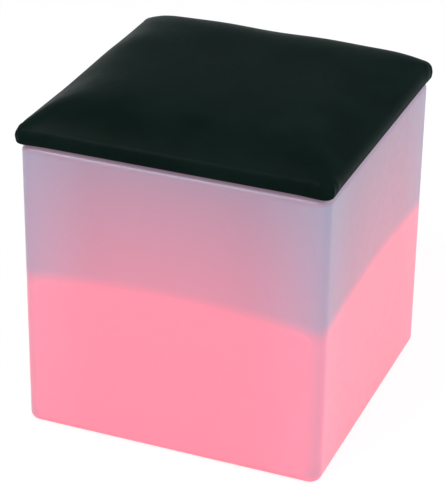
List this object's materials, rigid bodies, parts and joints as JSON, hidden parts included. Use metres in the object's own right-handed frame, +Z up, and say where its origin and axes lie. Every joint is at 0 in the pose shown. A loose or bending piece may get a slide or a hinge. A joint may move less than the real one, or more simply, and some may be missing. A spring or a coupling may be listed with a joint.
{
  "type": "led cube light",
  "caption": "Glowing hollow cube stool with a lamp canister hung in its sunk top and a loose padded leatherette seat that lifts off over the switch buttons and charging inlet.",
  "frame": {"origin": "on the floor, under the middle of the cube", "axes": "+Z up, +X to the right, the wide face of the picture facing -Y"},
  "size_m": [0.4084, 0.4084, 0.4469],
  "materials": {
    "leatherette": "fine grained black-green leatherette, soft sheen",
    "seat_foam": "open cell foam",
    "plywood": "sanded birch plywood",
    "batten_wood": "planed pine",
    "steel": "zinc plated",
    "brass": "turned, knurled",
    "black_rubber": "moulded, matt",
    "grey_silicone": "moulded silicone",
    "glowing_shell": "milky moulded polyethylene, lit from inside",
    "housing": "fine textured white",
    "button": "smooth moulded",
    "jack": "smooth moulded",
    "circuit_board": "solder mask",
    "component": "moulded epoxy",
    "cell": "shrink sleeve over steel",
    "sink": "die cast, bead blasted",
    "led": "phosphor and ceramic",
    "reflector": "white moulded",
    "window": "clear, polished",
    "lead": "insulated wire"
  },
  "bodies": {
    "lit_cube": {"cube_shell": "glowing_shell", "rubber_feet": "black_rubber", "foot_screws": "steel", "vent_plug": "black_rubber", "flange_inserts": "brass", "flange_gasket": "black_rubber", "flange_screws": "steel", "lamp_canister": "housing", "canister_lid": "housing", "lid_gasket": "black_rubber", "lid_screws": "steel", "charge_jack": "jack", "inlet_pin": "brass", "inlet_nut": "brass", "cover_pivot": "steel", "button_seals": "grey_silicone", "tact_switches": "component", "control_board": "circuit_board", "board_screws": "steel", "board_components": "component", "battery_cells": "cell", "battery_holder": "component", "battery_cover": "component", "battery_screw": "steel", "battery_leads": "lead", "led_leads": "lead", "heat_sink": "sink", "led_board": "circuit_board", "led_chips": "led", "led_board_screws": "steel", "reflector": "reflector", "lens_gasket": "grey_silicone", "lens_window": "window", "lens_ring": "housing", "ring_screws": "steel"},
    "padded_seat": {"seat_cover": "leatherette", "seat_foam": "seat_foam", "seat_board": "plywood", "cover_staples": "steel", "locating_battens": "batten_wood", "batten_screws": "steel", "seat_bumpers": "black_rubber"},
    "power_button": {"power_button": "button", "power_plunger": "component"},
    "mode_button": {"mode_button": "button", "mode_plunger": "component"},
    "inlet_cover": {"inlet_cover": "grey_silicone"}
  },
  "joints": [
    {"name": "seat_pad_lift", "type": "slide", "parent": "lit_cube", "child": "padded_seat", "axis": [0, 0, 1], "range_m": [0, 0.15]},
    {"name": "power_button_press", "type": "slide", "parent": "lit_cube", "child": "power_button", "axis": [0, 0, -1], "range_m": [0, 0.001], "stiffness_N_per_m": 400},
    {"name": "mode_button_press", "type": "slide", "parent": "lit_cube", "child": "mode_button", "axis": [0, 0, -1], "range_m": [0, 0.001], "stiffness_N_per_m": 400},
    {"name": "inlet_cover_swivel", "type": "hinge", "parent": "lit_cube", "child": "inlet_cover", "pos_m": [-0.018, 0.026, 0.3903], "axis": [0, 0, 1], "range_deg": [0, 110]}
  ]
}
